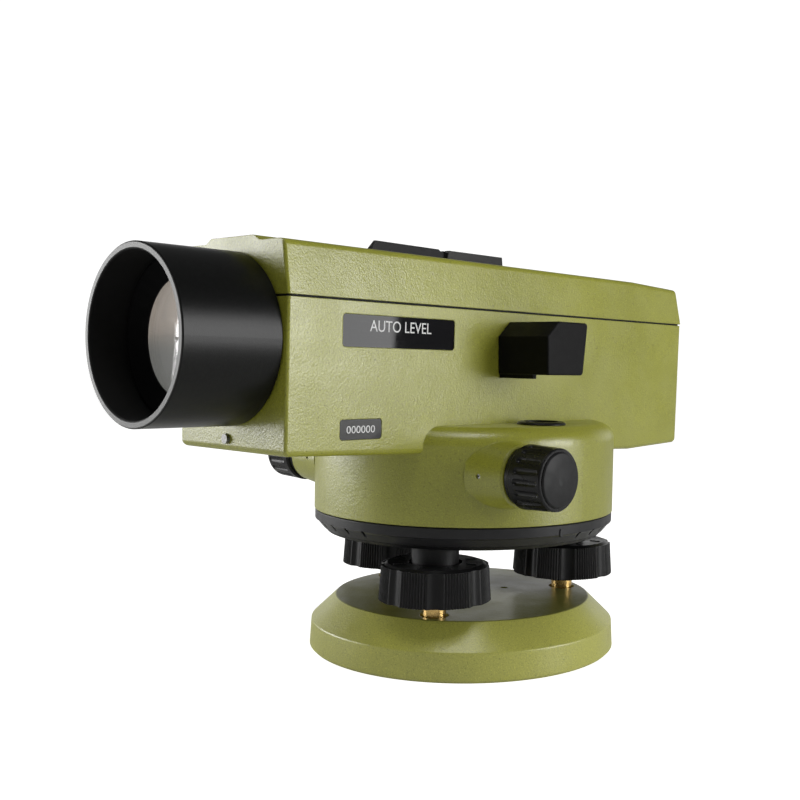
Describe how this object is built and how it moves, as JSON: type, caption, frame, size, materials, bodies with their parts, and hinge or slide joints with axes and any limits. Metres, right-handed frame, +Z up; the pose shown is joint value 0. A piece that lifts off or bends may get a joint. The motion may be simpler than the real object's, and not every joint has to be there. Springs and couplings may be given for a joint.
{
  "type": "automatic level",
  "caption": "Automatic surveying level with boxed telescope, objective hood, eyepiece, foot screws, slow-motion knobs, focusing knob and circular level on a round base.",
  "frame": {"origin": "on the standing axis at the underside of the base plate, at the mouth of the tripod thread", "axes": "+Z up along the standing axis; line of sight along Y with the objective towards -Y and the eyepiece at +Y; circular level on the +X side, focusing knob on the -X side"},
  "size_m": [0.1623, 0.297, 0.167],
  "materials": {
    "green_enamel": "fine orange-peel enamel",
    "black_plastic": "satin moulded",
    "black_anodised": "black anodised satin",
    "black_paint": "satin black paint",
    "brass": "turned",
    "steel": "turned",
    "aluminium": "machined",
    "optical_glass": "polished and coated",
    "silvered_glass": "silvered",
    "black_label": "gloss, blank",
    "rubber": "matte moulded"
  },
  "bodies": {
    "base": {"base_plate": "green_enamel", "tripod_bush": "steel", "bottom_plate": "aluminium", "bottom_screws": "steel"},
    "foot_screw_1": {"foot_knob_1": "black_plastic", "foot_stud_1": "brass"},
    "foot_screw_2": {"foot_knob_2": "black_plastic", "foot_stud_2": "brass"},
    "foot_screw_3": {"foot_knob_3": "black_plastic", "foot_stud_3": "brass"},
    "tribrach": {"tribrach_body": "black_paint", "foot_bushes": "brass", "axis_bush": "brass", "axis_cap": "black_plastic", "friction_spring": "steel"},
    "circle_ring": {"circle_ring": "black_plastic"},
    "alidade": {"main_housing": "green_enamel", "seam_gasket": "rubber", "top_cover": "green_enamel", "cover_screws": "steel", "spindle": "steel", "spindle_retainer": "steel", "worm_bushes": "brass", "lens_hood": "black_anodised", "objective_cell": "black_anodised", "objective_crown": "optical_glass", "objective_flint": "optical_glass", "objective_retainer": "black_anodised", "telescope_tube": "black_anodised", "focus_bush": "brass", "compensator_frame": "aluminium", "fixed_prisms": "optical_glass", "reticle_cell": "black_anodised", "reticle_glass": "optical_glass", "eyepiece_mount": "black_anodised", "adjuster_cap": "black_plastic", "mirror_housing": "black_plastic", "vial_mirror": "silvered_glass", "vial_case": "black_anodised", "vial_glass": "optical_glass", "vial_screws": "steel", "peep_sight": "black_plastic", "name_plate": "black_label", "serial_plate": "black_label", "front_screw": "steel"},
    "tangent_drive": {"worm_shaft": "steel", "tangent_knob_left": "black_plastic", "tangent_knob_right": "black_plastic", "knob_caps": "black_plastic"},
    "worm_wheel": {"worm_wheel": "brass"},
    "focus_drive": {"focus_knob": "black_plastic", "focus_pinion": "steel"},
    "focus_carriage": {"focus_carriage": "black_anodised", "focus_lens": "optical_glass"},
    "pendulum": {"pendulum": "aluminium", "pendulum_prism": "optical_glass", "suspension_wires": "steel"},
    "dioptre": {"dioptre_ring": "black_anodised", "eyepiece_lenses": "optical_glass", "eyecup": "rubber"}
  },
  "joints": [
    {"name": "level_tilt", "type": "hinge", "parent": "base", "child": "tribrach", "pos_m": [0.02286, -0.03992, 0.009], "axis": [0.0035, 1, 0], "range_deg": [-1.5, 1.5]},
    {"name": "foot_screw_1_turn", "type": "hinge", "parent": "tribrach", "child": "foot_screw_1", "pos_m": [0.02286, -0.03992, 0.009], "axis": [0, 0, 1], "range_deg": [-900, 900]},
    {"name": "foot_screw_2_turn", "type": "hinge", "parent": "tribrach", "child": "foot_screw_2", "pos_m": [0.02314, 0.03976, 0.009], "axis": [0, 0, 1], "range_deg": [-900, 900]},
    {"name": "foot_screw_3_turn", "type": "hinge", "parent": "base", "child": "foot_screw_3", "pos_m": [-0.046, 0.00016, 0.009], "axis": [0, 0, 1], "range_deg": [-880, 880]},
    {"name": "alidade_rotation", "type": "hinge", "parent": "tribrach", "child": "alidade", "pos_m": [0, 0, 0.07], "axis": [0, 0, 1], "continuous": true},
    {"name": "circle_ring_rotation", "type": "hinge", "parent": "tribrach", "child": "circle_ring", "pos_m": [0, 0, 0.054], "axis": [0, 0, 1], "continuous": true},
    {"name": "tangent_drive_turn", "type": "hinge", "parent": "alidade", "child": "tangent_drive", "pos_m": [0, -0.032, 0.0784], "axis": [1, 0, 0], "continuous": true},
    {"name": "worm_wheel_turn", "type": "hinge", "parent": "alidade", "child": "worm_wheel", "pos_m": [0, 0, 0.0784], "axis": [0, 0, 1], "continuous": true},
    {"name": "focus_turn", "type": "hinge", "parent": "alidade", "child": "focus_drive", "pos_m": [-0.0272, -0.068, 0.1103], "axis": [1, 0, 0], "range_deg": [-184, 184]},
    {"name": "focus_slide", "type": "slide", "parent": "alidade", "child": "focus_carriage", "axis": [0, 1, 0], "range_m": [-0.008, 0.008]},
    {"name": "pendulum_swing", "type": "hinge", "parent": "alidade", "child": "pendulum", "pos_m": [0, 0.02, 0.147], "axis": [1, 0, 0], "range_deg": [-0.5, 0.5]},
    {"name": "dioptre_turn", "type": "hinge", "parent": "alidade", "child": "dioptre", "pos_m": [0, 0.12, 0.1266], "axis": [0, 1, 0], "range_deg": [-150, 150]}
  ],
  "couplings": [
    {"joint": "foot_screw_3_turn", "follows": "level_tilt", "ratio": -578.05},
    {"joint": "worm_wheel_turn", "follows": "tangent_drive_turn", "ratio": -0.011111},
    {"joint": "focus_turn", "follows": "focus_slide", "rad_per_m": -400}
  ]
}
